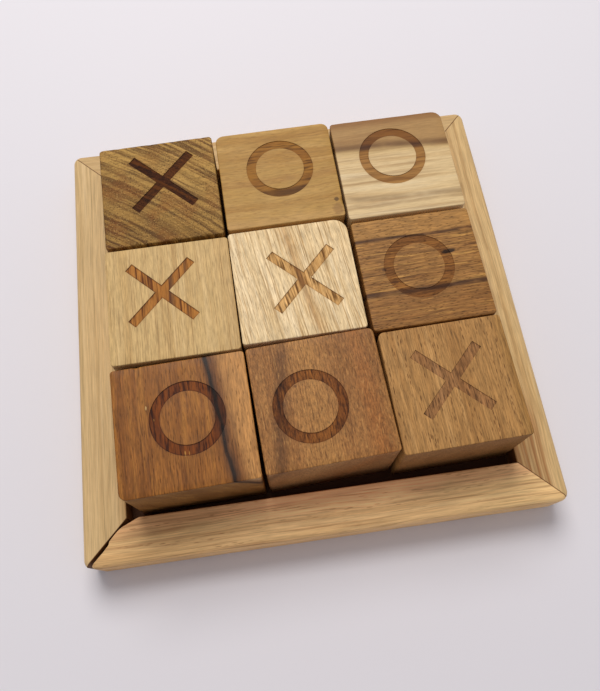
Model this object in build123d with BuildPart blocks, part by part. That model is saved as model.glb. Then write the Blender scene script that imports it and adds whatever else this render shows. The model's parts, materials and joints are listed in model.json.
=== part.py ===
from build123d import *
import os

# A pocket tic tac toe set. Nine thick wooden blocks stand in a shallow square tray. The tray has four mitred
# rails, glued corner to corner, round a thin base panel that sits in a rebate along their feet. Each block
# has a cross cut into one face and a ring into the other, so a player turns it to the mark they need.
# Millimetres. +X is right, +Y is the back and +Z is up. The origin is the middle of the tray, on the table.

# Tray
TRAY_SIDE = 100.0  # square, outside
RAIL_WIDTH = 9.0
RAIL_HEIGHT = 10.0
TRAY_CORNER_RADIUS = 2.0
OUTER_EASE = 1.2  # sanded rounding along the outside, top and bottom
INNER_EASE = 0.35  # the lighter rounding along the inside of the well
PANEL_THICKNESS = 3.0
PANEL_RAISE = 0.5  # the rails' feet reach this far below the panel
REBATE_REACH = 3.5  # how far the panel goes into each rail
PANEL_CLEARANCE = 0.2  # room for the panel to swell, on each side

# The front left mitre has opened: the front rail ends short there, and its inner tip has broken off.
OPEN_MITRE_OUTER = 0.35
OPEN_MITRE_INNER = 0.9
BROKEN_TIP = 1.2

# Blocks
BLOCK_HEIGHT = 20.5
BLOCK_EASE = 0.4
SHARP_CORNER = 0.7  # radius of an unworn upright corner
MARK_DEPTH = 0.2
STROKE = 2.1  # width of the cross's arms and of the ring's band
CROSS_ARM = 18.7  # length of each arm, end to end
RING_RADIUS = 7.5  # outside
CROSS_LEAN = 45.0

# Worked out from the sizes above
WELL_SIDE = TRAY_SIDE - 2 * RAIL_WIDTH
PANEL_POCKET = WELL_SIDE + 2 * REBATE_REACH
PANEL_TOP = PANEL_RAISE + PANEL_THICKNESS
BLOCK_TOP = PANEL_TOP + BLOCK_HEIGHT

# Each block lies as it was put back, a little off the grid and a little turned, and no two were cut quite
# alike. The mark's offset is from the block's middle. Worn corners are named by the side of the tray.
BLOCKS = {
    "cross_block_back_left": {
        "mark": "cross", "centre": (-26.85, 26.8), "turn": 1.25, "size": (25.6, 25.8),
        "offset": (0.85, 2.45), "worn": {},
    },
    "ring_block_back_middle": {
        "mark": "ring", "centre": (-0.3, 27.3), "turn": 0.9, "size": (26.0, 25.1),
        "offset": (0.5, 1.75), "worn": {"back_left": 1.8, "back_right": 1.6},
    },
    "ring_block_back_right": {
        "mark": "ring", "centre": (26.25, 26.7), "turn": 0.8, "size": (26.0, 25.7),
        "offset": (-0.35, 2.2), "worn": {"back_right": 2.2},
    },
    "cross_block_middle_left": {
        "mark": "cross", "centre": (-26.4, 0.05), "turn": 0.55, "size": (26.3, 26.1),
        "offset": (-1.7, 2.05), "worn": {},
    },
    "cross_block_centre": {
        "mark": "cross", "centre": (-0.1, 1.0), "turn": 1.1, "size": (25.8, 26.0),
        "offset": (1.85, -0.05), "worn": {"back_right": 3.0},
    },
    "ring_block_middle_right": {
        "mark": "ring", "centre": (26.7, 0.1), "turn": 1.2, "size": (25.9, 25.6),
        "offset": (-0.5, 0.45), "worn": {},
    },
    "ring_block_front_left": {
        "mark": "ring", "centre": (-25.9, -26.65), "turn": 1.6, "size": (26.9, 25.9),
        "offset": (0.9, 1.0), "worn": {"front_left": 1.6},
    },
    "ring_block_front_middle": {
        "mark": "ring", "centre": (1.25, -25.5), "turn": 2.6, "size": (26.3, 25.9),
        "offset": (-2.35, -1.05), "worn": {"back_right": 1.2},
    },
    "cross_block_front_right": {
        "mark": "cross", "centre": (27.7, -25.85), "turn": 1.6, "size": (25.6, 25.5),
        "offset": (-0.1, 0.55), "worn": {"back_left": 1.3},
    },
}
# Which way each corner lies from the block's middle
CORNERS = {"front_left": (-1, -1), "front_right": (1, -1), "back_right": (1, 1), "back_left": (-1, 1)}
OTHER_MARK = {"cross": "ring", "ring": "cross"}


def save(piece, name):
    """Label a finished piece and write its STEP file."""
    piece.part.label = name
    export_step(piece.part, f"parts/{name}.step")


def make_rim():
    """The tray's whole rim in one ring, with its edges eased and its rebate cut, before it is mitred."""
    with BuildPart() as rim:
        with BuildSketch():
            RectangleRounded(TRAY_SIDE, TRAY_SIDE, TRAY_CORNER_RADIUS)
            Rectangle(WELL_SIDE, WELL_SIDE, mode=Mode.SUBTRACT)
        extrude(amount=RAIL_HEIGHT)
        outer_top = rim.faces().sort_by(Axis.Z)[-1].outer_wire().edges()
        outer_foot = rim.faces().sort_by(Axis.Z)[0].outer_wire().edges()
        fillet(outer_top + outer_foot, radius=OUTER_EASE)
        well_top = rim.faces().sort_by(Axis.Z)[-1].inner_wires()[0].edges()
        fillet(well_top, radius=INNER_EASE)
        with BuildSketch():
            Rectangle(PANEL_POCKET, PANEL_POCKET)
        extrude(amount=PANEL_TOP, mode=Mode.SUBTRACT)
    return rim


def make_rail(rim, turn, outline):
    """One mitred rail: the rim inside an outline drawn for the front rail, turned to its own side."""
    with BuildPart() as rail:
        add(rim.part)
        with BuildSketch(Plane.XY.rotated((0, 0, turn))):
            with BuildLine():
                Polyline(*outline, close=True)
            make_face()
        extrude(amount=RAIL_HEIGHT, mode=Mode.INTERSECT)
    return rail


def make_base_panel():
    """The thin floor of the tray, loose enough in its rebate to swell."""
    side = PANEL_POCKET - 2 * PANEL_CLEARANCE
    with BuildPart() as panel:
        with BuildSketch(Plane.XY.offset(PANEL_RAISE)):
            Rectangle(side, side)
        extrude(amount=PANEL_THICKNESS)
    return panel


def cross_outline():
    """Two square-ended arms across each other."""
    with PolarLocations(0, 2, start_angle=CROSS_LEAN, angular_range=180):
        Rectangle(CROSS_ARM, STROKE)


def ring_outline():
    """A round band."""
    Circle(RING_RADIUS)
    Circle(RING_RADIUS - STROKE, mode=Mode.SUBTRACT)


MARK_OUTLINES = {"cross": cross_outline, "ring": ring_outline}


def make_block(mark, centre, turn, size, offset, worn):
    """One block on the panel, its shown mark cut into the top and the other mark into the underside."""
    width, depth = size
    foot = Plane(origin=(*centre, PANEL_TOP)).rotated((0, 0, turn))
    head = foot.offset(BLOCK_HEIGHT)
    with BuildPart() as block:
        with BuildSketch(foot):
            Rectangle(width, depth)
        extrude(amount=BLOCK_HEIGHT)
        uprights = block.edges().filter_by(Axis.Z)
        for corner, (side_x, side_y) in CORNERS.items():
            corner_point = foot.from_local_coords((side_x * width / 2, side_y * depth / 2, BLOCK_HEIGHT / 2))
            upright = uprights.sort_by_distance(corner_point)[0]
            fillet(upright, radius=worn.get(corner, SHARP_CORNER))
        rims = block.faces().filter_by(Plane.XY).edges()
        fillet(rims, radius=BLOCK_EASE)
        with BuildSketch(Plane(head.from_local_coords((*offset, 0)), x_dir=head.x_dir, z_dir=head.z_dir)):
            MARK_OUTLINES[mark]()
        extrude(amount=-MARK_DEPTH, mode=Mode.SUBTRACT)
        with BuildSketch(foot):
            MARK_OUTLINES[OTHER_MARK[mark]]()
        extrude(amount=MARK_DEPTH, mode=Mode.SUBTRACT)
    return block


os.makedirs("parts", exist_ok=True)

# The rails. Their outlines run past the rim inside and out, and their ends lie on the tray's diagonals,
# apart from the front rail's left end, which falls short of its diagonal and has lost its tip.
outer = TRAY_SIDE / 2
inner = WELL_SIDE / 2
past = RAIL_WIDTH
mitred_outline = [
    (-outer - past, -outer - past), (outer + past, -outer - past), (inner - past, past - inner),
    (past - inner, past - inner),
]
open_outline = [
    (OPEN_MITRE_OUTER - outer, -outer), (outer, -outer), (inner - past, past - inner),
    (OPEN_MITRE_INNER + BROKEN_TIP - inner, -inner),
    (OPEN_MITRE_INNER - BROKEN_TIP - inner, -inner - BROKEN_TIP),
]

rim = make_rim()
for side, turn in (("front", 0), ("right", 90), ("back", 180), ("left", 270)):
    outline = open_outline if side == "front" else mitred_outline
    save(make_rail(rim, turn, outline), f"{side}_rail")

save(make_base_panel(), "base_panel")

for name, block in BLOCKS.items():
    save(make_block(**block), name)
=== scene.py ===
import bmesh
import bpy
import json
import math
from mathutils import Matrix, Vector, geometry, noise

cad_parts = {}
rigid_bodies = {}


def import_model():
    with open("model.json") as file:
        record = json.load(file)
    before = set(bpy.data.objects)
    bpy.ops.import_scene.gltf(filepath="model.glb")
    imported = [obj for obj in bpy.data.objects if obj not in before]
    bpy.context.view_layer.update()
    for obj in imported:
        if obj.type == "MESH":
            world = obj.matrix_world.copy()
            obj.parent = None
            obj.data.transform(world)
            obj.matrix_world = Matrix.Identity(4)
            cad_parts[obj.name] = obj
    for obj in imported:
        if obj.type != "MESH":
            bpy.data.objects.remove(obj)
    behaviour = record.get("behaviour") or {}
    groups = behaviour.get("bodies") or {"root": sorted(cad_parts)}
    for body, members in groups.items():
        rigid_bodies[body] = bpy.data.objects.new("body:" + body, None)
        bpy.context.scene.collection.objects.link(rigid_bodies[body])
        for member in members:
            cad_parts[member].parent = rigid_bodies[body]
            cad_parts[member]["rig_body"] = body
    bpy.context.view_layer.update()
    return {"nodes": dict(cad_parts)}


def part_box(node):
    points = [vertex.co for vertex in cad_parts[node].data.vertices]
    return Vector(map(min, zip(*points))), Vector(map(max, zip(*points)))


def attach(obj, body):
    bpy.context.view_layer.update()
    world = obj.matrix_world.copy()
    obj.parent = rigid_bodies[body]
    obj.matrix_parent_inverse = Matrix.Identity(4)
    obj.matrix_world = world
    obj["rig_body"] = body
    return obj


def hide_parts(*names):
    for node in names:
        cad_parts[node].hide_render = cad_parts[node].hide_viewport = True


# A tic tac toe set: nine wooden blocks in a mitred wooden tray, on a pale floor in soft light.
# Lengths are millimetres up to the last step, where a mesh or a shader turns them into the frame's metres.

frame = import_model()
MM = 0.001


# ---------------------------------------------------------------- where the CAD solids are

def solid_points(node):
    """The corners of a CAD node's mesh, in millimetres."""
    return [vertex.co / MM for vertex in frame["nodes"][node].data.vertices]


def span(values):
    """The lowest and the highest of some numbers."""
    values = list(values)
    return min(values), max(values)


class BlockPlace:
    """Where a block stands, read from its CAD solid: middle, turn, size, corner radii and its two marks."""

    MOST_TURN = 3.0
    TURN_STEP = 0.05
    MARK_MARGIN = 1.5  # everything further in from the sides than this belongs to a mark

    def __init__(self, node):
        points = solid_points(node)
        steps = round(2 * self.MOST_TURN / self.TURN_STEP) + 1
        turns = [math.radians(i * self.TURN_STEP - self.MOST_TURN) for i in range(steps)]
        self.turn = min(turns, key=lambda turn: self.girth(points, turn))
        turned = [Matrix.Rotation(-self.turn, 3, "Z") @ point for point in points]
        (left, right), (front, back), (foot, top) = (span(p[i] for p in turned) for i in range(3))
        self.width, self.depth, self.height = right - left, back - front, top - foot
        middle = Vector(((left + right) / 2, (front + back) / 2, foot))
        self.middle = Matrix.Rotation(self.turn, 3, "Z") @ middle
        local = [point - middle for point in turned]
        self.radii = {corner: self.corner_radius(local, corner) for corner in CORNERS}
        inside = [
            p for p in local
            if abs(p.x) < self.width / 2 - self.MARK_MARGIN and abs(p.y) < self.depth / 2 - self.MARK_MARGIN
        ]
        upper = [p for p in inside if p.z > self.height / 2]
        lower = [p for p in inside if p.z < self.height / 2]
        self.top_mark = self.mark_middle(upper)
        self.foot_mark = self.mark_middle(lower)
        self.mark_depth = self.height - min(p.z for p in upper)

    @staticmethod
    def girth(points, turn):
        """How wide and deep the solid is, added up, seen at some turn."""
        cos, sin = math.cos(turn), math.sin(turn)
        x_low, x_high = span(p.x * cos + p.y * sin for p in points)
        y_low, y_high = span(p.y * cos - p.x * sin for p in points)
        return x_high - x_low + y_high - y_low

    def corner_radius(self, points, corner):
        """A round corner comes this near to the square one, in proportion to its radius."""
        side_x, side_y = corner
        gap = min(self.width / 2 - side_x * p.x + self.depth / 2 - side_y * p.y for p in points)
        return gap / (2 - math.sqrt(2))

    @staticmethod
    def mark_middle(points):
        x_low, x_high = span(p.x for p in points)
        y_low, y_high = span(p.y for p in points)
        return Vector(((x_low + x_high) / 2, (y_low + y_high) / 2))

    def matrix(self):
        """From the block's own millimetres, its foot's middle as origin, to the row frame's metres."""
        scale = Matrix.Scale(MM, 4)
        return scale @ Matrix.Translation(self.middle) @ Matrix.Rotation(self.turn, 4, "Z")


# Each corner's direction from the middle, anticlockwise, and where its arc starts, in degrees
CORNERS = {(-1, -1): 180, (1, -1): 270, (1, 1): 0, (-1, 1): 90}


# ---------------------------------------------------------------- node trees

def srgb(red, green, blue):
    """A colour as a screen shows it, 0 to 255, turned into linear light."""
    shares = [value / 255 for value in (red, green, blue)]
    linear = [share / 12.92 if share <= 0.04045 else ((share + 0.055) / 1.055) ** 2.4 for share in shares]
    return (*linear, 1.0)


class Shade:
    """One material's node tree, with short names for the nodes that it needs."""

    def __init__(self, name):
        self.material = bpy.data.materials.new(name)
        self.material.use_nodes = True
        self.tree = self.material.node_tree
        self.shader = self.tree.nodes["Principled BSDF"]

    def node(self, kind, **settings):
        node = self.tree.nodes.new("ShaderNode" + kind)
        for key, value in settings.items():
            setattr(node, key, value)
        return node

    def feed(self, socket, value):
        if isinstance(value, bpy.types.NodeSocket):
            self.tree.links.new(value, socket)
        else:
            socket.default_value = value

    def math(self, operation, *values):
        node = self.node("Math", operation=operation)
        for socket, value in zip(node.inputs, values):
            self.feed(socket, value)
        return node.outputs[0]

    def times(self, value, factor):
        return self.math("MULTIPLY", value, factor)

    def scaled(self, value, factor, plus):
        """value times factor, plus something."""
        return self.math("MULTIPLY_ADD", value, factor, plus)

    def swayed(self, value, noise, reach):
        """value, moved by up to half of reach either way."""
        return self.scaled(self.math("SUBTRACT", noise, 0.5), reach, value)

    def length(self, x, y):
        return self.math("SQRT", self.math("ADD", self.times(x, x), self.times(y, y)))

    def between(self, value, low, high):
        """0 where value is at low, 1 where it is at high, smooth in between. high may be the lower one."""
        node = self.node("MapRange", interpolation_type="SMOOTHSTEP")
        self.feed(node.inputs["Value"], value)
        self.feed(node.inputs["From Min"], low)
        self.feed(node.inputs["From Max"], high)
        return node.outputs["Result"]

    def blend(self, factor, first, second, mode="MIX"):
        node = self.node("Mix", data_type="RGBA", blend_type=mode)
        self.feed(node.inputs[0], factor)
        self.feed(node.inputs[6], first)
        self.feed(node.inputs[7], second)
        return node.outputs[2]

    def placed(self, point, location=(0, 0, 0), rotation=(0, 0, 0), scale=(1, 1, 1)):
        """point as seen from a frame with this place, turn in degrees, and unit of length."""
        node = self.node("Mapping", vector_type="TEXTURE")
        self.feed(node.inputs["Vector"], point)
        node.inputs["Location"].default_value = location
        node.inputs["Rotation"].default_value = [math.radians(angle) for angle in rotation]
        node.inputs["Scale"].default_value = scale
        return node.outputs[0]

    def texture(self, kind, point, shift, size):
        """A texture of one unit of length, moved and stretched to this size."""
        node = self.node(kind)
        self.feed(node.inputs["Vector"], self.placed(point, location=shift, scale=size))
        node.inputs["Scale"].default_value = 1.0
        return node

    def noise(self, point, size, seed=0.0, detail=2.0, roughness=0.5):
        """Smooth noise round 0.5, in blots of this size along, across and through the grain."""
        node = self.texture("TexNoise", point, (seed * 41.3, seed * 17.9, seed * 29.1), size)
        node.inputs["Detail"].default_value = detail
        node.inputs["Roughness"].default_value = roughness
        return node.outputs[0]

    def cells(self, point, size, seed=0.0):
        """Distance to the nearest of the spots scattered one to a cell of this size, as a share of it."""
        node = self.texture("TexVoronoi", point, (seed * 23.7, seed * 31.1, seed * 13.3), size)
        return node.outputs["Distance"]

    def parts(self, point):
        node = self.node("SeparateXYZ")
        self.feed(node.inputs[0], point)
        return node.outputs

    def together(self, x, y, z):
        node = self.node("CombineXYZ")
        for socket, value in zip(node.inputs, (x, y, z)):
            self.feed(socket, value)
        return node.outputs[0]

    def attribute(self, name):
        return self.node("Attribute", attribute_name=name).outputs["Fac"]


class Wood(Shade):
    """Wood in millimetres: own runs along the piece's sides, grain along, across and through its fibres."""

    PORE_DEPTH = 0.6
    BURNT_LINES = 0.35  # how much darker the fibres are that the laser brought out

    def __init__(self, name, origin, turn, base, grain_turn=0.0, tilt=0.0, wave=0.0, seed=0.0):
        super().__init__(name)
        here = self.node("TexCoord").outputs["Object"]
        metres = [value * MM for value in origin]
        self.own = self.placed(here, location=metres, rotation=(0, 0, math.degrees(turn)), scale=(MM, MM, MM))
        self.seed = seed
        self.tilt = math.radians(tilt)
        straight = self.placed(self.own, rotation=(tilt, 0, grain_turn))
        self.along, across, through = self.parts(straight)
        sway = self.noise(straight, (28, 9, 30), seed=seed + 0.5, detail=1.0)
        self.across = self.swayed(across, sway, wave)
        self.grain = self.together(self.along, self.across, through)
        self.fibres = turn + math.radians(grain_turn)
        self.colour = srgb(*base)
        self.height = 0.5
        self.burnt = 0.0

    def tint(self, colour, factor):
        """Lays a screen colour over the wood."""
        self.colour = self.blend(factor, self.colour, srgb(*colour))

    def stain(self, shares, factor=1.0):
        """Multiplies the wood's red, green and blue."""
        self.colour = self.blend(factor, self.colour, (*shares, 1.0), "MULTIPLY")

    def figure(self, colour, size, low, high, strength, seed, relief=0.0):
        """Streaky figure: patches of another colour, long along the grain."""
        value = self.noise(self.grain, size, seed=self.seed + seed)
        amount = self.times(self.between(value, low, high), strength)
        self.tint(colour, amount)
        if relief:
            self.height = self.scaled(amount, -relief, self.height)

    def pores(self, colour, size, radius, strength, seed, mask=1.0):
        """Short open vessels, dark and a little sunk."""
        distance = self.cells(self.grain, size, seed=self.seed + seed)
        amount = self.times(self.between(distance, radius, radius * 0.5), strength)
        amount = self.times(amount, mask)
        self.tint(colour, amount)
        self.height = self.scaled(amount, -self.PORE_DEPTH, self.height)

    def across_from(self, at, slope, wobble, size, seed):
        """How far across the grain from a line along it, which lies at a distance across the top face."""
        line = self.scaled(self.along, slope, at)
        sway = self.noise(self.own, (size, size, size), seed=self.seed + seed)
        line = self.swayed(line, sway, wobble)
        return self.math("SUBTRACT", self.across, self.times(line, math.cos(self.tilt)))

    def streak(self, colour, at, width, strength, wobble, slope=0.0, broken=0.0, seed=0.0, soft=0.6):
        """One mineral streak along the grain, more or less broken."""
        gap = self.math("ABSOLUTE", self.across_from(at, slope, wobble, 7, seed + 3.3))
        amount = self.times(self.between(gap, width / 2 * (1 + soft), width / 2 * (1 - soft)), strength)
        run = self.noise(self.grain, (6, 30, 30), seed=self.seed + seed + 7.7)
        whole = self.scaled(self.between(run, 0.30, 0.58), broken, 1 - broken)
        self.tint(colour, self.times(amount, whole))

    def side(self, colour, at, soft, strength, wobble, slope=0.0, seed=0.0):
        """Another colour on one side of a line along the grain: heartwood beside sapwood."""
        gap = self.across_from(at, slope, wobble, 9, seed + 5.1)
        self.tint(colour, self.times(self.between(gap, 0, soft), strength))

    def spot(self, colour, at, size, strength):
        """A single mark on the top face: a chip, a pitch pocket or a speck of light wood."""
        x, y, z = self.parts(self.placed(self.own, location=(*at, 0), scale=(*size, 1)))
        ragged = self.noise(self.own, (0.8, 0.8, 0.8), seed=self.seed + 1.9)
        reach = self.swayed(self.length(x, y), ragged, 0.9)
        near_top = self.times(self.between(z, -2.0, -0.5), strength)
        self.tint(colour, self.times(self.between(reach, 1.1, 0.6), near_top))

    def burn(self, shares, outline, halo, lines, line_size):
        """The laser's mark: darkened wood with its grain standing out, darker along its outline, partly
        scorch and partly painted shade.
        """
        distance = self.attribute("mark")
        self.burnt = self.between(distance, 0.03, -0.05)
        deep = self.noise(self.grain, line_size, seed=self.seed + 11.1, detail=3.0)
        deep = self.times(self.between(deep, 0.45, 0.68), lines)
        plain = self.colour
        self.stain(shares)
        self.stain([share * self.BURNT_LINES for share in shares], deep)
        # Darker inside the outline: partly scorch and partly painted shade at the foot of the mark's walls.
        self.stain((0.30, 0.22, 0.18), self.times(self.between(distance, -0.34, -0.04), outline))
        mark = self.colour
        self.colour = plain
        self.stain((0.62, 0.50, 0.40), self.times(self.between(distance, 0.45, 0.0), halo))
        self.colour = self.blend(self.burnt, self.colour, mark)
        self.height = self.scaled(self.times(deep, self.burnt), -0.8, self.height)

    def scorch(self, colour, at, width, strength, slope=0.0):
        """A streak that only the laser brought out."""
        plain = self.colour
        self.streak(colour, at, width, strength, 0.5, slope, broken=0.4, seed=8, soft=0.7)
        self.colour = self.blend(self.burnt, plain, self.colour)

    def end_grain(self, shares):
        """Stains the faces that cut across the fibres."""
        node = self.node("VectorMath", operation="DOT_PRODUCT")
        self.feed(node.inputs[0], self.node("TexCoord").outputs["Normal"])
        self.feed(node.inputs[1], (math.cos(self.fibres), math.sin(self.fibres), 0.0))
        facing = self.math("ABSOLUTE", node.outputs["Value"])
        self.stain(shares, self.between(facing, 0.5, 0.9))

    def finish(self, grade=(1.0, 1.0, 1.0), grit=0.9, grit_size=(2.6, 0.28, 0.28), rough=(0.46, 0.62),
               bump=0.035, ends=(0.85, 0.83, 0.88), edge_tint=(1.12, 1.10, 1.06), edge_amount=0.5):
        """Handled edges, uneven polish and the relief of the grain, then the shader itself."""
        self.end_grain(ends)
        patchy = self.noise(self.own, (1.6, 1.6, 1.6), seed=self.seed + 2.2, detail=3.0)
        worn = self.times(self.between(patchy, 0.35, 0.65), edge_amount)
        self.stain(edge_tint, self.times(self.attribute("edge"), worn))
        fibres = self.noise(self.grain, (3.0, 0.16, 0.16), seed=self.seed + 4.4, detail=3.0)
        self.height = self.scaled(fibres, 0.5, self.height)
        self.stain(grade)
        fine = self.noise(self.grain, grit_size, seed=self.seed + 8.8, detail=3.0, roughness=0.65)
        self.colour = self.blend(1.0, self.colour, self.scaled(fine, grit, 1 - grit / 2), "MULTIPLY")
        self.height = self.scaled(fine, 0.6, self.height)
        polish = self.noise(self.own, (5, 5, 5), seed=self.seed + 6.6, detail=3.0)
        polished, dull = rough
        roughness = self.scaled(polish, dull - polished, polished)
        roughness = self.swayed(roughness, fibres, 0.12)
        roughness = self.scaled(self.burnt, 0.12, roughness)
        relief = self.node("Bump")
        relief.inputs["Distance"].default_value = bump * MM
        relief.inputs["Strength"].default_value = 1.0
        self.feed(relief.inputs["Height"], self.height)
        self.feed(self.shader.inputs["Base Color"], self.colour)
        self.feed(self.shader.inputs["Roughness"], roughness)
        self.feed(self.shader.inputs["Normal"], relief.outputs[0])
        self.shader.inputs["Specular IOR Level"].default_value = 0.18
        return self.material


# ---------------------------------------------------------------- the nine woods

# The numbers after a colour are
#   for figure: its size along, across and through the grain, the two levels of noise, strength and seed
#   for a streak: where it lies across the grain, its width, its strength and how far it sways
#   for a side: where it begins, how softly, its strength and how far its edge sways
#   for pores: the size of a pore's cell, its radius as a share of that, strength and seed
#   for burn: how dark the outline is (scorch and painted shade), the scorch round it and the fibres inside,
#       and the fibres' size

ALONG_X = 0.0
ALONG_Y = 90.0


def block_wood(name, place, base, grain, **how):
    """Wood whose own origin is the middle of the block's top face."""
    origin = place.middle + Vector((0, 0, place.height))
    return Wood(name, origin, place.turn, base, grain, **how)


def olive_end_grain(place):
    """Greyish brown, cut across the fibres: growth rings as slanting bands, and every pore a dot."""
    wood = block_wood("olive_end_grain", place, (182, 146, 90), ALONG_X, seed=1)
    x, y, z = wood.parts(wood.placed(wood.own, location=(-79, -101, 0)))
    sway = wood.noise(wood.own, (6, 6, 40), seed=1.4)
    far = wood.swayed(wood.length(x, y), sway, 1.0)
    rings = wood.together(far, wood.times(x, 0.13), wood.times(z, 0.02))
    coarse = wood.between(wood.noise(rings, (0.86, 2.2, 1), seed=2.0, detail=1.0), 0.44, 0.62)
    fine = wood.between(wood.noise(rings, (0.36, 1.6, 1), seed=3.0), 0.45, 0.65)
    broad = wood.between(wood.noise(rings, (4.0, 6, 1), seed=6.0, detail=1.0), 0.3, 0.65)
    wood.tint((92, 60, 28), wood.times(coarse, wood.scaled(broad, 0.55, 0.3)))
    wood.tint((98, 62, 30), wood.times(fine, 0.42))
    warm = wood.between(wood.noise(wood.own, (6, 6, 30), seed=5.0), 0.45, 0.68)
    own_x, own_y, _ = wood.parts(wood.own)
    left = wood.between(wood.scaled(own_x, 0.6, own_y), 7.0, -9.0)
    wood.tint((146, 92, 44), wood.times(warm, wood.scaled(left, 0.35, 0.22)))
    wood.stain((0.66, 0.6, 0.52), wood.times(left, 0.75))
    dots = wood.between(wood.cells(wood.own, (0.4, 0.4, 12), seed=1), 0.4, 0.16)
    crowd = wood.between(wood.noise(wood.own, (4, 4, 30), seed=8.0), 0.35, 0.6)
    wood.tint((66, 40, 20), wood.times(dots, wood.scaled(crowd, 0.5, 0.25)))
    specks = wood.between(wood.cells(wood.own, (0.36, 0.36, 12), seed=4), 0.32, 0.1)
    wood.tint((222, 192, 136), wood.times(specks, 0.45))
    wood.height = wood.scaled(dots, -0.5, wood.height)
    wood.burn((0.25, 0.125, 0.045), 0.15, 0.2, 0.5, (1.5, 1.0, 4))
    return wood.finish((1.01, 0.95, 0.7), grit=1.2, rough=(0.55, 0.72), bump=0.05,
                       ends=(1.0, 1.0, 1.0), edge_tint=(0.62, 0.56, 0.5), edge_amount=0.8)


def honey(place):
    """Honey tan, quiet grain across the block."""
    wood = block_wood("honey", place, (186, 147, 90), ALONG_X, tilt=35, wave=2.4, seed=2)
    wood.figure((166, 120, 62), (38, 3.2, 9), 0.42, 0.66, 0.55, 1)
    wood.figure((205, 166, 112), (30, 2.0, 8), 0.52, 0.72, 0.6, 2)
    wood.figure((158, 112, 60), (22, 0.55, 3), 0.5, 0.72, 0.35, 3, relief=0.2)
    wood.side((206, 166, 120), -9.0, -3.5, 0.55, 2.0)
    wood.streak((150, 100, 58), -1.2, 1.4, 0.35, 1.6, broken=0.6, seed=4)
    wood.pores((140, 95, 50), (2.6, 0.5, 0.5), 0.28, 0.35, 5)
    wood.spot((84, 60, 42), (11.7, -8.2), (0.55, 0.6), 0.75)
    wood.spot((140, 100, 66), (11.6, -10.6), (1.3, 1.6), 0.5)
    wood.burn((0.72, 0.55, 0.31), 0.1, 0.12, 0.75, (5, 0.5, 1.5))
    wood.scorch((74, 42, 20), -4.6, 1.6, 0.8)
    return wood.finish((0.96, 0.92, 0.69), rough=(0.42, 0.56))


def two_tone(place):
    """Brown heartwood along the back, a dark line, then cream sapwood."""
    wood = block_wood("two_tone", place, (226, 199, 154), ALONG_X, tilt=20, wave=1.2, seed=3)
    wood.figure((206, 172, 122), (34, 1.5, 6), 0.46, 0.7, 0.5, 1)
    wood.figure((240, 220, 184), (30, 2.6, 8), 0.48, 0.7, 0.55, 2)
    wood.figure((190, 152, 104), (24, 0.4, 2), 0.52, 0.72, 0.4, 3, relief=0.15)
    wood.streak((150, 122, 88), -8.6, 1.2, 0.6, 1.0, slope=-0.04, broken=0.6, seed=4)
    wood.streak((160, 130, 94), -10.2, 0.7, 0.45, 0.8, broken=0.7, seed=6)
    wood.side((206, 174, 120), 2.0, 2.2, 0.75, 0.8, slope=-0.05)
    wood.side((176, 138, 90), 3.6, 1.8, 0.95, 0.6, slope=-0.05, seed=1)
    wood.streak((104, 70, 42), 5.3, 1.5, 0.75, 0.6, slope=-0.05, broken=0.35, seed=1, soft=1.0)
    wood.figure((136, 94, 54), (30, 1.3, 6), 0.48, 0.72, 0.4, 5)
    wood.side((140, 94, 54), 9.8, 2.6, 0.75, 1.0, seed=2)
    wood.burn((0.57, 0.38, 0.19), 0.1, 0.12, 0.45, (7, 0.5, 1.5))
    wood.scorch((74, 44, 28), 4.9, 1.2, 0.7, slope=-0.05)
    return wood.finish((0.96, 0.93, 0.85), grit=0.6, rough=(0.4, 0.55))


def beige(place):
    """Light beige with fine straight grain from front to back."""
    wood = block_wood("beige", place, (206, 174, 124), ALONG_Y, tilt=25, wave=0.8, seed=4)
    wood.figure((190, 154, 102), (40, 2.6, 9), 0.44, 0.68, 0.55, 1)
    wood.figure((222, 192, 146), (34, 1.7, 6), 0.5, 0.72, 0.5, 2)
    wood.figure((172, 134, 88), (20, 0.32, 1.5), 0.53, 0.72, 0.5, 3, relief=0.3)
    wood.side((188, 150, 100), -8.0, -5.0, 0.45, 2.0)
    wood.figure((140, 104, 66), (14, 0.2, 1.0), 0.58, 0.7, 0.6, 6, relief=0.3)
    wood.pores((134, 96, 58), (6.0, 0.4, 0.4), 0.2, 0.35, 4)
    wood.burn((0.74, 0.44, 0.19), 0.7, 0.12, 1.0, (11, 0.45, 2))
    wood.scorch((84, 54, 38), -0.1, 0.8, 0.75)
    wood.scorch((92, 60, 40), -3.4, 0.5, 0.6)
    return wood.finish((1.03, 1.01, 0.89), grit=1.3, rough=(0.45, 0.58))


def cream(place):
    """Very light cream, close fine grain that leans a little, with one tan streak."""
    wood = block_wood("cream", place, (226, 198, 152), ALONG_Y + 7, tilt=30, wave=1.0, seed=5)
    wood.figure((240, 216, 176), (26, 1.8, 7), 0.46, 0.68, 0.6, 1)
    wood.figure((204, 170, 118), (18, 0.7, 3), 0.5, 0.7, 0.5, 2)
    wood.figure((176, 138, 86), (12, 0.24, 1.2), 0.52, 0.66, 0.75, 3, relief=0.35)
    wood.streak((190, 148, 92), -1.3, 2.0, 0.55, 0.6, slope=0.05, broken=0.5, seed=2, soft=0.9)
    wood.streak((170, 126, 74), -1.0, 0.6, 0.5, 0.6, slope=0.05, broken=0.8, seed=2)
    wood.pores((150, 112, 68), (2.2, 0.36, 0.36), 0.22, 0.45, 4)
    wood.burn((0.86, 0.66, 0.42), 0.45, 0.12, 1.0, (4, 0.4, 1.2))
    wood.scorch((118, 76, 40), -0.9, 0.9, 0.75, slope=0.05)
    return wood.finish((1.08, 1.08, 1.07), grit=1.7, rough=(0.48, 0.62))


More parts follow.
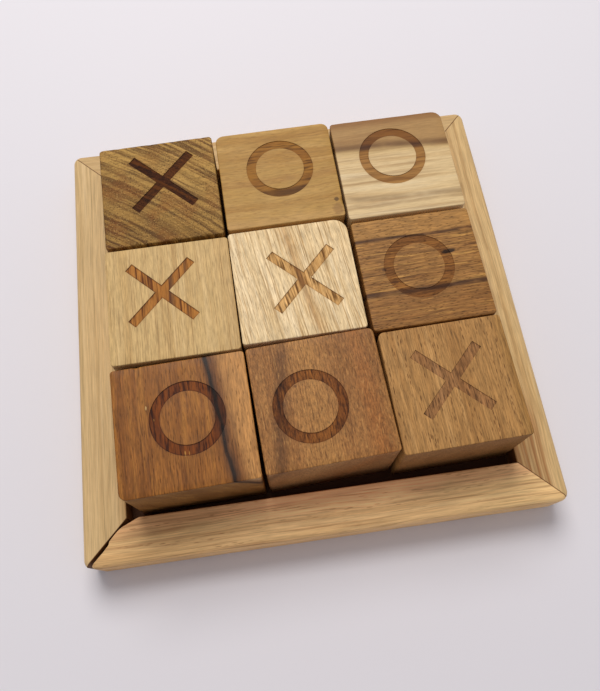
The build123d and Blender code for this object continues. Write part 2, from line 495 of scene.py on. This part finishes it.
def streaked_brown(place):
    """Mid brown with two strong dark streaks across the block."""
    wood = block_wood("streaked_brown", place, (156, 113, 69), ALONG_X, tilt=15, wave=1.6, seed=6)
    wood.figure((128, 88, 50), (24, 1.3, 5), 0.44, 0.66, 0.6, 1)
    wood.figure((196, 150, 90), (9, 0.45, 3), 0.52, 0.7, 0.75, 2)
    wood.figure((88, 54, 30), (7, 0.28, 1.5), 0.51, 0.66, 0.65, 3, relief=0.4)
    wood.side((166, 124, 78), 8.2, 0.6, 0.75, 0.6)
    wood.streak((70, 44, 32), 7.9, 0.8, 0.85, 0.7, slope=0.005, broken=0.6, seed=1, soft=0.8)
    wood.side((132, 90, 52), -5.4, -1.0, 0.55, 0.5, seed=3)
    wood.streak((66, 40, 28), -5.2, 1.1, 0.9, 0.7, slope=-0.01, broken=0.45, seed=2, soft=0.8)
    wood.streak((88, 56, 36), 3.9, 0.5, 0.5, 1.2, broken=0.9, seed=5)
    wood.pores((78, 48, 28), (1.5, 0.3, 0.3), 0.3, 0.7, 4)
    wood.spot((44, 28, 20), (6.3, 2.9), (1.7, 0.6), 0.95)
    wood.spot((64, 40, 28), (-8.0, 0.6), (0.6, 0.35), 0.8)
    wood.spot((74, 46, 32), (-6.3, -2.5), (1.0, 0.45), 0.7)
    wood.burn((0.72, 0.6, 0.48), 0.0, 0.0, 0.45, (4, 0.4, 1.2))
    return wood.finish((1.11, 1.05, 0.79), grit=2.0, rough=(0.45, 0.6), bump=0.05)


def warm_brown(place):
    """Warm brown with a black wavy streak right of the middle, and a lighter reddish strip beyond it."""
    wood = block_wood("warm_brown", place, (150, 100, 50), ALONG_Y, tilt=-38, wave=1.4, seed=7)
    wood.figure((120, 74, 34), (30, 2.4, 8), 0.42, 0.64, 0.65, 1)
    wood.figure((182, 128, 66), (22, 1.2, 5), 0.54, 0.72, 0.55, 2)
    wood.figure((98, 58, 28), (10, 0.32, 1.6), 0.53, 0.7, 0.55, 3, relief=0.3)
    wood.side((200, 152, 104), -8.2, -1.6, 0.85, 1.2, slope=0.13)
    wood.figure((150, 100, 62), (12, 0.35, 2), 0.52, 0.7, 0.35, 9)
    wood.streak((112, 76, 54), -8.2, 2.8, 0.6, 2.0, slope=0.13, broken=0.4, seed=5, soft=1.0)
    wood.streak((70, 46, 36), -7.4, 1.3, 0.8, 1.6, slope=0.13, broken=0.5, seed=1, soft=0.9)
    wood.streak((34, 24, 22), -7.2, 0.55, 0.95, 1.6, slope=0.13, broken=0.35, seed=1, soft=0.6)
    wood.pores((78, 44, 22), (2.4, 0.42, 0.42), 0.26, 0.55, 4)
    wood.spot((228, 200, 156), (-6.9, 4.2), (0.16, 0.45), 0.8)
    wood.spot((240, 222, 188), (-5.6, 1.6), (0.14, 0.3), 0.8)
    wood.spot((240, 222, 188), (-0.3, -5.9), (0.14, 0.6), 0.85)
    wood.spot((232, 206, 164), (0.5, -6.0), (0.12, 0.5), 0.75)
    wood.burn((0.62, 0.4, 0.17), 0.7, 0.15, 1.0, (4, 0.45, 1.5))
    return wood.finish((0.98, 0.87, 0.6), grit=2.0, rough=(0.36, 0.52), ends=(0.97, 1.2, 1.9))


def mid_brown(place):
    """Mid brown, golden in the middle, with a soft grey streak on the left."""
    wood = block_wood("mid_brown", place, (158, 112, 68), ALONG_Y, tilt=30, wave=1.4, seed=8)
    wood.figure((136, 92, 52), (34, 3.4, 9), 0.44, 0.68, 0.5, 1)
    wood.figure((176, 130, 80), (30, 2.2, 8), 0.52, 0.74, 0.45, 2)
    wood.streak((180, 134, 82), 1.2, 5.0, 0.6, 1.2, slope=0.03, seed=3, soft=0.9)
    wood.streak((98, 66, 42), 8.0, 2.0, 0.75, 1.0, slope=-0.15, broken=0.5, seed=4, soft=0.9)
    wood.streak((160, 98, 48), -9.3, 3.0, 0.5, 1.2, slope=0.05, broken=0.5, seed=5, soft=0.9)
    wood.figure((108, 68, 36), (3, 0.24, 0.8), 0.51, 0.68, 0.55, 6, relief=0.3)
    wood.figure((206, 160, 104), (2, 0.24, 0.8), 0.56, 0.72, 0.4, 10)
    wood.pores((98, 62, 34), (0.9, 0.32, 0.32), 0.28, 0.5, 7)
    wood.spot((96, 60, 36), (-4.6, 3.4), (0.35, 0.35), 0.8)
    wood.burn((0.62, 0.44, 0.24), 0.45, 0.15, 0.9, (2.5, 0.4, 1.0))
    return wood.finish((1.01, 0.93, 0.74), grit=2.1, grit_size=(1.1, 0.3, 0.3), rough=(0.4, 0.56),
                       ends=(1.05, 1.13, 1.55))


def tan_brown(place):
    """Tan-brown, full of short dark pores from front to back."""
    wood = block_wood("tan_brown", place, (173, 130, 82), ALONG_Y, tilt=20, wave=1.0, seed=9)
    wood.figure((154, 110, 64), (36, 1.9, 8), 0.46, 0.68, 0.55, 1)
    wood.figure((190, 148, 100), (26, 1.1, 5), 0.54, 0.74, 0.5, 2)
    wood.side((150, 112, 62), -9.6, -3.0, 0.55, 1.5)
    rows = wood.between(wood.noise(wood.grain, (26, 0.9, 4), seed=3.1), 0.4, 0.6)
    wood.pores((98, 62, 34), (2.0, 0.36, 0.36), 0.34, 0.85, 3, mask=rows)
    wood.pores((126, 86, 50), (1.3, 0.26, 0.26), 0.26, 0.45, 5)
    wood.burn((0.8, 0.73, 0.82), 0.05, 0.0, 0.75, (2.4, 0.4, 1.0))
    return wood.finish((1.03, 0.99, 0.83), grit=2.2, grit_size=(3.6, 0.26, 0.26), rough=(0.5, 0.64),
                       bump=0.045, ends=(0.76, 0.7, 0.76))


# ---------------------------------------------------------------- the tray's woods

def rail_wood(name, turn, base, seed):
    """Wood of a rail. Its grain runs along the rail, and across it counts from the tray's middle outwards."""
    return Wood(name, (0, 0, tray.height), turn, base, tilt=10, wave=1.2, seed=seed)


def finish_rail(wood, grade, grit=0.9):
    """What the four rails share: walls facing the well darkened as painted shade, and a thin glue line at
    each mitre.
    """
    x, y, z = wood.parts(wood.own)
    wall = tray.rail - tray.side / 2
    painted_well_shade = wood.times(wood.between(y, wall - 0.25, wall - 0.05), wood.between(z, -0.25, -0.9))
    # Painted shade: the rails' walls that face the well are darkened.
    wood.stain((0.4, 0.29, 0.22), painted_well_shade)
    from_mitre = wood.math("ABSOLUTE", wood.math("ADD", wood.math("ABSOLUTE", x), y))
    wood.stain((0.26, 0.17, 0.11), wood.between(from_mitre, 0.2, 0.07))
    return wood.finish(grade, grit, grit_size=(7.0, 0.3, 0.3), rough=(0.45, 0.6),
                       edge_tint=(1.06, 1.03, 1.0))


def front_rail_wood(turn):
    """Pinkish brown with dark pores along the well, yellow tan along the outside, brightened as painted light
    where the blocks shade it.
    """
    wood = rail_wood("front_rail_wood", turn, (210, 175, 126), seed=11)
    edge = -tray.side / 2
    wood.figure((190, 152, 104), (46, 1.5, 5), 0.44, 0.68, 0.55, 1)
    wood.side((214, 166, 122), edge + 5.0, 2.5, 0.8, 3.0, seed=1)
    wood.figure((150, 108, 76), (30, 0.8, 4), 0.52, 0.74, 0.55, 3)
    wood.figure((222, 190, 140), (40, 0.9, 4), 0.54, 0.74, 0.5, 2)
    rows = wood.between(wood.noise(wood.grain, (20, 0.9, 4), seed=3.6), 0.5, 0.66)
    wood.pores((134, 84, 48), (2.6, 0.3, 0.36), 0.34, 0.65, 4, mask=rows)
    wood.figure((142, 98, 60), (16, 0.34, 1.5), 0.52, 0.7, 0.5, 5, relief=0.3)
    x, y, _ = wood.parts(wood.own)
    # Painted light: the rail is lifted along its inner middle and a little towards its right end, against the
    # shadow that the blocks cast on it; towards its left end it is held darker.
    wood.stain((0.86, 0.84, 0.8), wood.between(x, -14, -34))
    middle = wood.times(wood.between(wood.math("ABSOLUTE", x), 26, 8), wood.between(y, edge + 3, edge + 6))
    wood.stain((1.26, 1.22, 1.24), middle)
    wood.stain((1.02, 1.05, 1.03), wood.between(x, 20, 38))
    # The strong grade is painted light too: it brightens the whole rail, which lies in the blocks' shadow.
    return finish_rail(wood, (1.42, 1.36, 1.28), grit=1.1)


def right_rail_wood(turn):
    """Yellow tan with darker lines down its middle, brown towards its front end."""
    wood = rail_wood("right_rail_wood", turn, (214, 183, 136), seed=12)
    edge = -tray.side / 2
    wood.figure((192, 156, 106), (60, 1.2, 5), 0.46, 0.7, 0.6, 1)
    wood.figure((226, 198, 154), (50, 1.4, 5), 0.52, 0.74, 0.5, 2)
    wood.streak((166, 128, 84), edge + 5.2, 1.3, 0.5, 1.6, broken=0.6, seed=3)
    wood.streak((176, 138, 92), edge + 3.2, 0.7, 0.45, 1.2, broken=0.7, seed=4)
    wood.figure((164, 126, 82), (18, 0.3, 1.5), 0.54, 0.72, 0.4, 5, relief=0.3)
    x, y, _ = wood.parts(wood.own)
    near_front = wood.times(wood.between(x, -20, -36), wood.between(y, edge + 1.5, edge + 4))
    lines = wood.between(wood.noise(wood.grain, (40, 0.8, 4), seed=16.5, detail=1.0), 0.42, 0.6)
    wood.tint((158, 108, 66), wood.times(near_front, wood.scaled(lines, 0.55, 0.25)))
    return finish_rail(wood, (1.04, 1.0, 0.88), grit=1.1)


def back_rail_wood(turn):
    """Tan with broad brown bands."""
    wood = rail_wood("back_rail_wood", turn, (208, 174, 122), seed=13)
    wood.figure((178, 132, 80), (50, 1.8, 5), 0.46, 0.7, 0.6, 1)
    wood.figure((220, 188, 138), (44, 1.1, 4), 0.52, 0.74, 0.5, 2)
    wood.figure((158, 118, 74), (16, 0.3, 1.5), 0.54, 0.72, 0.4, 5, relief=0.3)
    return finish_rail(wood, (1.0, 1.0, 1.0))


def left_rail_wood(turn):
    """Pale tan with fine lines along it, a little darker beside the well."""
    wood = rail_wood("left_rail_wood", turn, (212, 180, 132), seed=14)
    edge = -tray.side / 2
    wood.figure((190, 156, 108), (60, 1.0, 4), 0.46, 0.7, 0.55, 1)
    wood.figure((224, 194, 150), (50, 1.6, 5), 0.52, 0.74, 0.5, 2)
    wood.side((190, 150, 100), edge + 7.0, 1.5, 0.6, 1.2)
    wood.figure((150, 124, 84), (24, 0.28, 1.5), 0.54, 0.72, 0.45, 5, relief=0.3)
    return finish_rail(wood, (1.03, 1.02, 0.96))


def panel_wood():
    """The thin base panel: reddish brown veneer, made very dark as painted shade for the bottom of the well.
    """
    # Painted shade: this dark base colour stands in for the shade at the bottom of the well.
    wood = Wood("panel_wood", (0, 0, 0), 0.0, (80, 46, 22), grain_turn=ALONG_X, wave=3.0, seed=15)
    wood.figure((66, 36, 16), (70, 4.0, 3), 0.44, 0.68, 0.6, 1)
    wood.figure((52, 29, 14), (40, 0.6, 1), 0.52, 0.72, 0.45, 2, relief=0.3)
    wood.pores((44, 25, 12), (3.0, 0.5, 0.5), 0.24, 0.5, 3)
    return wood.finish(rough=(0.55, 0.7))


# ---------------------------------------------------------------- the marks

class Mark:
    """A cross or a ring, as a signed distance and as outlines at any distance from its edge."""

    STROKE = 2.1
    ARM = 18.7
    RADIUS = 7.5
    CIRCLE_POINTS = 100
    POINT_GAP = 0.45
    RAGGED = 0.035  # how far the burnt outline strays

    def __init__(self, kind, middle):
        self.kind, self.middle = kind, middle
        self.half = self.STROKE / 2
        self.arm = self.ARM / 2
        self.ring = self.RADIUS - self.half

    def distance(self, point):
        """How far a point lies outside the mark, or inside it as a negative number."""
        x, y = point[0] - self.middle.x, point[1] - self.middle.y
        if self.kind == "ring":
            return abs(math.hypot(x, y) - self.ring) - self.half
        along, across = abs(x + y) * math.sqrt(0.5), abs(x - y) * math.sqrt(0.5)
        return min(max(along - self.arm, across - self.half), max(across - self.arm, along - self.half))

    def loops(self, offset=0.0):
        """Closed outlines of the mark, moved outwards by offset."""
        if self.kind == "ring":
            radii = (self.ring + self.half + offset, self.ring - self.half - offset)
            shares = [i / self.CIRCLE_POINTS for i in range(self.CIRCLE_POINTS)]
            return [self.rough([self.on_circle(radius, share) for share in shares]) for radius in radii]
        near, far = self.half + offset, self.arm + offset
        quarter = [(near, near), (far, near), (far, -near)]
        turns = [Matrix.Rotation(math.radians(45 - 90 * i), 2) for i in range(4)]
        corners = [turn @ Vector(corner) for turn in turns for corner in quarter]
        points = []
        for start, end in zip(corners, corners[1:] + corners[:1]):
            steps = max(1, round((end - start).length / self.POINT_GAP))
            points += [start.lerp(end, i / steps) for i in range(steps)]
        return [self.rough(points)]

    @staticmethod
    def on_circle(radius, share):
        angle = share * 2 * math.pi
        return Vector((radius * math.cos(angle), radius * math.sin(angle)))

    def rough(self, points):
        """Lets an outline stray a little, as scorched wood does, and moves it to the mark's middle."""
        return [point + self.middle + self.stray(point) for point in points]

    def stray(self, point):
        x, y, seed = point.x * 1.7, point.y * 1.7, self.middle.x
        return self.RAGGED * Vector([noise.noise(Vector((x, y, seed + more))) for more in (0, 9)])


# ---------------------------------------------------------------- the blocks

FAR_FROM_MARK = 9.0
OUTLINE_GAP = 0.9  # between the points along a block's side
MOST_EASE = 2.0


def round_outline(width, depth, radii):
    """Points round a block, anticlockwise, each with its outward direction and the most it may be eased."""
    arcs = []
    for (side_x, side_y), start in CORNERS.items():
        radius = radii[(side_x, side_y)]
        middle = Vector((side_x * (width / 2 - radius), side_y * (depth / 2 - radius)))
        steps = max(5, round(radius * 2.5))
        outward = [Mark.on_circle(1.0, (start + 90 * i / steps) / 360) for i in range(steps + 1)]
        arcs.append([(middle + way * radius, way, radius * 0.9) for way in outward])
    points = []
    for arc, following in zip(arcs, arcs[1:] + arcs[:1]):
        points += arc
        (start, way, _), (end, _, _) = arc[-1], following[0]
        steps = max(1, round((end - start).length / OUTLINE_GAP))
        points += [(start.lerp(end, i / steps), way, MOST_EASE) for i in range(1, steps)]
    return points


def fill_outline(points, edges, count):
    """Triangles inside the outline of the first points, and which point each of their corners came from."""
    found = geometry.delaunay_2d_cdt(points, edges, [list(range(count))], 1, 1e-6, True)
    spots, _, triangles, sources, _, owners = found
    inside = [triangle for triangle, owner in zip(triangles, owners) if owner]
    return spots, inside, [min(source) for source in sources]


def join_rings(mesh, rings):
    """Faces between each ring of corners and the next."""
    for ring, following in zip(rings, rings[1:]):
        for i in range(len(ring)):
            j = (i + 1) % len(ring)
            mesh.faces.new((ring[i], ring[j], following[j], following[i]))


class BlockMesh:
    """A block with hand-eased edges, faces that aren't quite flat, and a mark sunk into top and underside."""

    EASE = 0.24
    EASE_STEPS = 5
    SIDE_STEPS = 7
    HOLLOW = 0.02  # how far the faces fall short of true
    NICK_EASE = 0.7
    MARK_SHARE = 0.65  # the CAD's depth is the deepest that the laser went
    FILL_MARGIN = 1.4
    FILL_GAP = 1.25
    NEAR_MARK = 0.75  # nearer than this to a mark's outline, only the points along it are used

    def __init__(self, place, marks, seed, rough_edges=0.0, nicks=()):
        self.place, self.seed, self.rough_edges, self.nicks = place, seed, rough_edges, nicks
        self.mesh = bmesh.new()
        self.mark_layer = self.mesh.verts.layers.float.new("mark")
        self.edge_layer = self.mesh.verts.layers.float.new("edge")
        outline = round_outline(place.width, place.depth, place.radii)
        lower = self.eased_rings(outline, top=False)
        upper = self.eased_rings(outline, top=True)
        rings = lower + self.side_rings(lower[-1], upper[0]) + upper
        join_rings(self.mesh, rings)
        self.close(rings[-1], marks[0], top=True)
        self.close(rings[0], marks[1], top=False)
        bmesh.ops.recalc_face_normals(self.mesh, faces=self.mesh.faces)

    def wander(self, point, size, seed):
        """Noise from -1 to 1, the same each run."""
        return noise.noise(Vector((point[0] / size, point[1] / size, seed + self.seed * 7.3)))

    def ease(self, point, most, top):
        """How far the edge is rounded off near a point: unevenly, more at the corners, most at a nick."""
        seed = 1.0 if top else 5.0
        ease = self.EASE * (1 + 0.30 * self.wander(point, 5.0, seed) + 0.18 * self.wander(point, 1.3, seed))
        ease += self.rough_edges * max(0.0, self.wander(point, 1.1, seed + 2))
        for x, y, size in self.nicks if top else ():
            near = 1 - math.hypot(point[0] - x, point[1] - y) / size
            ease += self.NICK_EASE * max(0.0, near)
        return min(ease, most)

    def hollow(self, x, y):
        return self.HOLLOW * (1 + self.wander((x, y), 7.0, 3.0))

    def level(self, x, y, top):
        """The height of the top face or the underside."""
        return self.place.height - self.hollow(x, y) if top else self.hollow(x, y)

    def vertex(self, x, y, z, mark=FAR_FROM_MARK, edge=0.0):
        vertex = self.mesh.verts.new((x, y, z))
        vertex[self.mark_layer] = mark
        vertex[self.edge_layer] = edge
        return vertex

    def eased_rings(self, outline, top):
        """The rounded edge, as rings from the side to the face, or from the underside to the side."""
        rings = []
        for step in range(self.EASE_STEPS + 1):
            angle = math.pi / 2 * step / self.EASE_STEPS
            edge = math.sin(2 * angle)
            ring = []
            for point, way, most in outline:
                ease = self.ease(point, most, top)
                spot = point - way * ease * (1 - math.cos(angle))
                drop = ease * (1 - math.sin(angle))
                level = self.level(spot.x, spot.y, top)
                ring.append(self.vertex(spot.x, spot.y, level - drop if top else level + drop, edge=edge))
            rings.append(ring)
        return rings if top else rings[::-1]

    def side_rings(self, below, above):
        """Rings up the sides, which were sanded by hand and wander a little."""
        rings = []
        for step in range(1, self.SIDE_STEPS):
            share = step / self.SIDE_STEPS
            ring = []
            for low, high in zip(below, above):
                spot = low.co.lerp(high.co, share)
                inwards = 0.5 * self.HOLLOW * (1 + noise.noise(spot / 6 + Vector((0, 0, self.seed))))
                spot.xy -= spot.xy.normalized() * inwards
                ring.append(self.vertex(*spot))
            rings.append(ring)
        return rings

    def fill_points(self, mark):
        """Points that keep the face's triangles small, with some close along the mark's outline."""
        spots = [spot for offset in (-0.5, -0.18, 0.18, 0.5) for loop in mark.loops(offset) for spot in loop]
        half_x, half_y = self.place.width / 2 - self.FILL_MARGIN, self.place.depth / 2 - self.FILL_MARGIN
        gap = self.FILL_GAP
        for i in range(int(2 * half_x / gap) + 1):
            for j in range(int(2 * half_y / gap) + 1):
                spot = Vector((i * gap - half_x + (j % 2) * gap / 2, j * gap - half_y))
                if abs(mark.distance(spot)) > self.NEAR_MARK and spot.x < half_x:
                    spots.append(spot)
        return spots

    def close(self, rim, mark, top):
        """Fills a face inside its rim, and sinks the mark into it."""
        loops = [[vertex.co.xy for vertex in rim]] + mark.loops()
        points, edges = [], []
        for loop in loops:
            start, count = len(points), len(loop)
            points += loop
            edges += [(start + i, start + (i + 1) % count) for i in range(count)]
        outline_end = len(points)
        points += self.fill_points(mark)
        spots, triangles, source = fill_outline(points, edges, len(rim))
        into = self.place.mark_depth * self.MARK_SHARE * (-1 if top else 1)

        def surface(i, sunk):
            if source[i] < len(rim):
                return rim[source[i]]
            x, y = spots[i]
            distance = mark.distance(spots[i])
            if not sunk:
                return self.vertex(x, y, self.level(x, y, top), mark=max(0.0, distance))
            charred = 1 + 0.10 * self.wander((x, y), 0.7, 6.0)
            return self.vertex(x, y, self.level(x, y, top) + into * charred, mark=min(-0.1, distance))

        upper, lower = {}, {}
        for triangle in triangles:
            centre = sum((spots[i] for i in triangle), Vector((0, 0))) / 3
            sunk = mark.distance(centre) < 0
            made = lower if sunk else upper
            for i in triangle:
                if i not in made:
                    made[i] = surface(i, sunk)
            self.mesh.faces.new([made[i] for i in triangle])
        found = {first: i for i, first in enumerate(source)}
        for start, end in edges:
            if start >= len(rim) and end < outline_end:
                a, b = found[start], found[end]
                self.mesh.faces.new((upper[a], upper[b], lower[b], lower[a]))

    def piece(self, name, material):
        """The finished object, in the row frame."""
        self.mesh.transform(self.place.matrix())
        return new_piece(name, self.mesh, material)


CREASE = 38


def new_piece(name, mesh, material):
    """Turns a bmesh in metres into an object with smooth faces and sharp creases."""
    data = bpy.data.meshes.new(name)
    mesh.to_mesh(data)
    mesh.free()
    data.materials.append(material)
    data.shade_smooth()
    data.set_sharp_from_angle(angle=math.radians(CREASE))
    piece = bpy.data.objects.new(name, data)
    bpy.context.scene.collection.objects.link(piece)
    return piece


# Each block's wood, how ragged its edges are, and its nicks: where, and how wide
BLOCK_LOOKS = {
    "cross_block_back_left": (olive_end_grain, 0.35, [(-6, -13, 1.2), (2, -13, 0.9), (9, -13, 1.0)]),
    "ring_block_back_middle": (honey, 0.0, [(13, -8.6, 1.2)]),
    "ring_block_back_right": (two_tone, 0.0, []),
    "cross_block_middle_left": (beige, 0.0, []),
    "cross_block_centre": (cream, 0.0, []),
    "ring_block_middle_right": (streaked_brown, 0.12, []),
    "ring_block_front_left": (warm_brown, 0.05, [(-8, 13, 0.8)]),
    "ring_block_front_middle": (mid_brown, 0.0, []),
    "cross_block_front_right": (tan_brown, 0.0, []),
}
OTHER_MARK = {"cross": "ring", "ring": "cross"}


def make_blocks():
    for seed, (node, (wood, rough_edges, nicks)) in enumerate(BLOCK_LOOKS.items()):
        place = BlockPlace(node)
        shown = node.split("_")[0]
        marks = (Mark(shown, place.top_mark), Mark(OTHER_MARK[shown], place.foot_mark))
        block = BlockMesh(place, marks, seed, rough_edges, nicks)
        piece = block.piece("wooden_" + node, wood(place))
        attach(piece, frame["nodes"][node]["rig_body"])
        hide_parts(node)


# ---------------------------------------------------------------- the tray

class Tray:
    """The tray's sizes, read from its CAD solids."""

    def __init__(self):
        self.side = (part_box("right_rail")[1].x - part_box("left_rail")[0].x) / MM
        self.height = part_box("right_rail")[1].z / MM
        well = min(point.x for point in solid_points("right_rail") if point.z > self.height / 2)
        self.rail = self.side / 2 - well
        self.panel_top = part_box("base_panel")[1].z / MM


class RailMesh:
    """A mitred rail, drawn as the front one: d runs from its outside inwards, x along it."""

    OUTER_EASE = 1.2
    INNER_EASE = 0.35
    REBATE = 5.5
    FOOT_MIDDLE = 3.4
    CORNER = 2.0
    EASE_STEPS = 6
    STEPS = ((12, 1.6), (3.5, 0.5), (0, 0.25))  # further than this from the end, a ring every so often
    UNEVEN = 0.03  # how far its faces fall short of true
    CHATTER = 0.012
    FULLER_EDGE = 0.10
    # The front rail's left end: its gap at the outside, what the pinch takes off, and what is torn off more
    OPEN_GAP = 0.95
    PINCH = 0.65
    PINCH_FROM, PINCH_RUN = 4.2, 0.8
    TORN = 2.3
    TORN_FROM = 7.2
    RAGGED = 0.10
    PULL_REACH = 9.0

    def __init__(self, seed, open_left=False):
        self.seed, self.open_left = seed, open_left
        self.mesh = bmesh.new()
        self.edge_layer = self.mesh.verts.layers.float.new("edge")
        rings = [self.ring(share) for share in self.shares()]
        join_rings(self.mesh, rings)
        for ring in (rings[0], rings[-1]):
            self.cap(ring)
        bmesh.ops.recalc_face_normals(self.mesh, faces=self.mesh.faces)

    def shares(self):
        """Places along the rail from -1 to 1, close together near the ends."""
        places, x, half = [], 0.0, tray.side / 2
        while x < half:
            places.append(x / half)
            x += next(step for beyond, step in self.STEPS if half - x > beyond)
        places.append(1.0)
        return [-share for share in places[:0:-1]] + places

    def profile(self):
        """The section, anticlockwise from the foot's outer ease: depth, height, and how rounded it is."""
        top, ease, inner = tray.height, self.OUTER_EASE, self.INNER_EASE
        quarter = [math.pi / 2 * i / self.EASE_STEPS for i in range(self.EASE_STEPS + 1)]
        arcs = [(1 - math.sin(angle), 1 - math.cos(angle), math.sin(2 * angle)) for angle in quarter]
        points = [(ease * rising, ease * level, edge) for rising, level, edge in arcs]
        points += [(0.0, ease + (top - 2 * ease) * i / 6, 0.0) for i in range(1, 6)]
        points += [(ease * level, top - ease * rising, edge) for rising, level, edge in arcs]
        points += [(ease + (tray.rail - ease - inner) * i / 12, top, 0.0) for i in range(1, 12)]
        points += [(tray.rail - inner * rising, top - inner * level, edge) for rising, level, edge in arcs]
        wall = top - inner - tray.panel_top
        points += [(tray.rail, top - inner - wall * i / 4, 0.0) for i in range(1, 5)]
        points += [(self.REBATE, tray.panel_top, 0.0), (self.REBATE, 0.0, 0.0), (self.FOOT_MIDDLE, 0.0, 0.0)]
        return points

    def ring(self, share):
        ring = []
        for d, z, edge in self.profile():
            x, y = self.along(d, share)
            x = self.pull_end(x, d, z, share)
            x, y, z = self.uneven(x, y, z, d, edge)
            vertex = self.mesh.verts.new((x, y, z))
            vertex[self.edge_layer] = edge
            ring.append(vertex)
        return ring

    def along(self, d, share):
        """The place a share of the way along the line at depth d, which bends round the outer corner."""
        half, radius = tray.side / 2, self.CORNER - d
        if radius <= 0:
            return share * (half - d), d - half
        bend = radius * math.pi / 4
        run = abs(share) * (half - self.CORNER + bend)
        straight = min(run, half - self.CORNER)
        angle = (run - straight) / radius
        x = straight + radius * math.sin(angle)
        return math.copysign(x, share), self.CORNER - half - radius * math.cos(angle)

    def gap(self, d):
        """How far the front rail's left end stands off the mitre line: open, pinched, then torn off."""
        pinched = min(1.0, max(0.0, (d - self.PINCH_FROM) / self.PINCH_RUN))
        torn = max(0.0, d - self.TORN_FROM) / (tray.rail - self.TORN_FROM)
        return self.OPEN_GAP - self.PINCH * pinched + self.TORN * torn

    def pull_end(self, x, d, z, share):
        """Draws the open end back from the mitre line, fading out along the rail."""
        from_end = (1 + share) * tray.side / 2
        if not self.open_left or from_end > self.PULL_REACH:
            return x
        ragged = noise.noise(Vector((d * 1.6, z * 1.1, 3.3))) + 0.6 * noise.noise(Vector((d * 5, z * 2.2, 8)))
        back = self.gap(d) + self.RAGGED * max(0.0, 1 + ragged) * min(1.0, d / 2)
        return x + back * (1 - from_end / self.PULL_REACH) ** 2

    def uneven(self, x, y, z, d, edge):
        """Sanded by hand: the faces wander a little and the eased edge is fuller in some places."""
        sway = 0.5 + 0.5 * noise.noise(Vector((x / 17, d / 6, self.seed)))
        chatter = 0.5 + 0.5 * noise.noise(Vector((x / 2.1, d / 3, self.seed + 9)))
        drop = self.UNEVEN * sway + self.CHATTER * chatter + self.FULLER_EDGE * edge * sway * (d < 2)
        if z > tray.height / 2:
            z -= drop
        elif z < tray.panel_top:
            z += 0.3 * drop * (d < 2)
        if d < self.OUTER_EASE:
            y += 0.6 * drop
            x -= math.copysign(0.6 * drop, x) * (abs(x) > tray.side / 2 - 2)
        return x, y, z

    def cap(self, ring):
        """Closes a mitred end with small faces."""
        ring = ring[::-1]
        _, triangles, source = fill_outline([vertex.co.yz for vertex in ring], [], len(ring))
        for triangle in triangles:
            self.mesh.faces.new([ring[source[i]] for i in triangle])

    def piece(self, name, turn, material):
        """The finished object, turned to its side of the tray."""
        self.mesh.transform(Matrix.Scale(MM, 4) @ Matrix.Rotation(turn, 4, "Z"))
        return new_piece(name, self.mesh, material)


tray = Tray()

# Each rail's wood and how many quarter turns take the front rail to its side
RAIL_LOOKS = {
    "front_rail": (front_rail_wood, 0),
    "right_rail": (right_rail_wood, 1),
    "back_rail": (back_rail_wood, 2),
    "left_rail": (left_rail_wood, 3),
}


def make_tray():
    for seed, (node, (wood, turns)) in enumerate(RAIL_LOOKS.items()):
        turn = turns * math.pi / 2
        rail = RailMesh(seed * 5.7, open_left=node == "front_rail")
        piece = rail.piece("wooden_" + node, turn, wood(turn))
        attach(piece, "tray")
        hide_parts(node)
    panel = frame["nodes"]["base_panel"].data
    panel.materials.clear()
    panel.materials.append(panel_wood())


make_blocks()
make_tray()


def make_camera():
    """A hand-held view from in front and well above, a little to the left."""
    camera = bpy.data.objects.new("camera", bpy.data.cameras.new("camera"))
    camera.data.lens = 34.93
    camera.data.sensor_width = 36.0
    camera.location = Vector((-8.23, -62.30, 150.13)) * MM
    camera.rotation_euler = (math.radians(90 - 68.82), 0, math.radians(-8.09))
    camera.data.clip_start = 0.01
    bpy.context.scene.collection.objects.link(camera)
    bpy.context.scene.camera = camera


def make_floor():
    """A plain pale floor."""
    mesh = bmesh.new()
    bmesh.ops.create_grid(mesh, x_segments=8, y_segments=8, size=1.5)
    shade = Shade("floor_paper")
    here = shade.node("TexCoord").outputs["Object"]
    cloud = shade.noise(here, (0.35, 0.35, 0.35))
    colour = shade.blend(cloud, srgb(238, 235, 240), srgb(232, 228, 234))
    shade.feed(shade.shader.inputs["Base Color"], colour)
    shade.shader.inputs["Roughness"].default_value = 0.75
    floor = new_piece("floor", mesh, shade.material)


def area_light(name, place, size, power, colour):
    """A round soft light, aimed at the tray's middle."""
    light = bpy.data.objects.new(name, bpy.data.lights.new(name, "AREA"))
    light.data.shape = "DISK"
    light.data.size = size
    light.data.energy = power
    light.data.color = colour
    light.location = place
    light.rotation_euler = (-Vector(place)).to_track_quat("-Z", "Y").to_euler()
    bpy.context.scene.collection.objects.link(light)


def make_light():
    """A wide soft window behind the tray, a little to the left, and pale light from all round."""
    area_light("window", place=(-0.03, 0.385, 0.64), size=0.47, power=3.78, colour=(1.0, 0.975, 0.94))
    world = bpy.data.worlds.new("studio")
    world.use_nodes = True
    background = world.node_tree.nodes["Background"]
    background.inputs["Color"].default_value = (0.90, 0.885, 0.92, 1.0)
    background.inputs["Strength"].default_value = 0.41
    bpy.context.scene.world = world
    bpy.context.scene.view_settings.view_transform = "Standard"


make_camera()
make_floor()
make_light()
